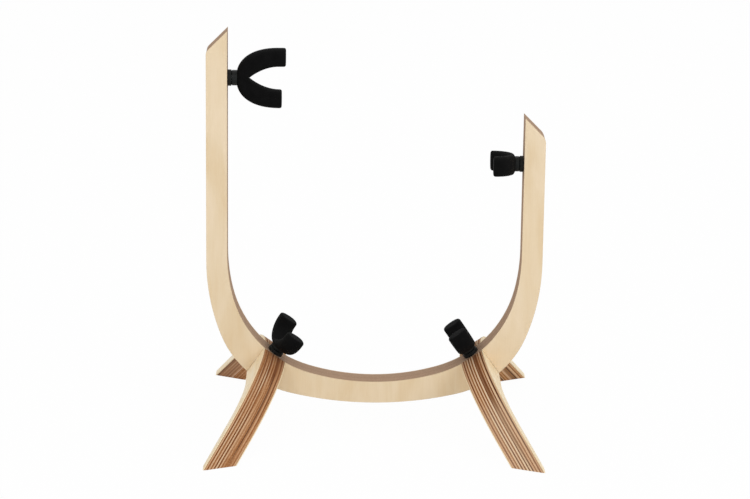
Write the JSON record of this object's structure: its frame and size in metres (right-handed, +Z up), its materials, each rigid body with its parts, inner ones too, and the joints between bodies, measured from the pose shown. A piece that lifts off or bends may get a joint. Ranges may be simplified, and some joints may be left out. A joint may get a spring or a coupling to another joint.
{
  "type": "euphonium stand",
  "caption": "U-shaped plywood floor stand on arched legs, with swivelling foam-covered forks on its arms and base that cradle a euphonium.",
  "frame": {"origin": "on the floor, at the bottom centre of the whole stand's box", "axes": "+X from the tall arm to the short arm, +Y from the front of the stand to its back, +Z up"},
  "size_m": [0.407, 0.3816, 0.4871],
  "materials": {
    "birch_plywood": "clear satin on birch plywood",
    "black_foam": "matt closed-cell foam rubber",
    "black_plastic": "moulded, slight sheen",
    "steel": "zinc plated",
    "brass": "turned"
  },
  "bodies": {
    "stand": {"frame_panel": "birch_plywood", "left_leg": "birch_plywood", "right_leg": "birch_plywood", "upper_left_insert": "brass", "upper_left_pivot_stud": "steel", "upper_left_lock_collar": "black_plastic", "upper_right_insert": "brass", "upper_right_pivot_stud": "steel", "upper_right_lock_collar": "black_plastic", "lower_left_insert": "brass", "lower_left_pivot_stud": "steel", "lower_left_lock_collar": "black_plastic", "lower_right_insert": "brass", "lower_right_pivot_stud": "steel", "lower_right_lock_collar": "black_plastic"},
    "upper_left_fork": {"upper_left_hub": "black_plastic", "upper_left_yoke_rod": "steel", "upper_left_foam_cover": "black_foam"},
    "upper_right_fork": {"upper_right_hub": "black_plastic", "upper_right_yoke_rod": "steel", "upper_right_foam_cover": "black_foam"},
    "lower_left_fork": {"lower_left_hub": "black_plastic", "lower_left_yoke_rod": "steel", "lower_left_foam_cover": "black_foam"},
    "lower_right_fork": {"lower_right_hub": "black_plastic", "lower_right_yoke_rod": "steel", "lower_right_foam_cover": "black_foam"}
  },
  "joints": [
    {"name": "upper_left_swivel", "type": "hinge", "parent": "stand", "child": "upper_left_fork", "pos_m": [-0.1783, 0, 0.4284], "axis": [1, 0, 0], "continuous": true},
    {"name": "upper_right_swivel", "type": "hinge", "parent": "stand", "child": "upper_right_fork", "pos_m": [0.1783, 0, 0.3261], "axis": [-1, 0, 0], "continuous": true},
    {"name": "lower_left_swivel", "type": "hinge", "parent": "stand", "child": "lower_left_fork", "pos_m": [-0.12066, 0, 0.08601], "axis": [0.5736, 0, 0.8192], "continuous": true},
    {"name": "lower_right_swivel", "type": "hinge", "parent": "stand", "child": "lower_right_fork", "pos_m": [0.12066, 0, 0.08601], "axis": [-0.5736, 0, 0.8192], "continuous": true}
  ]
}
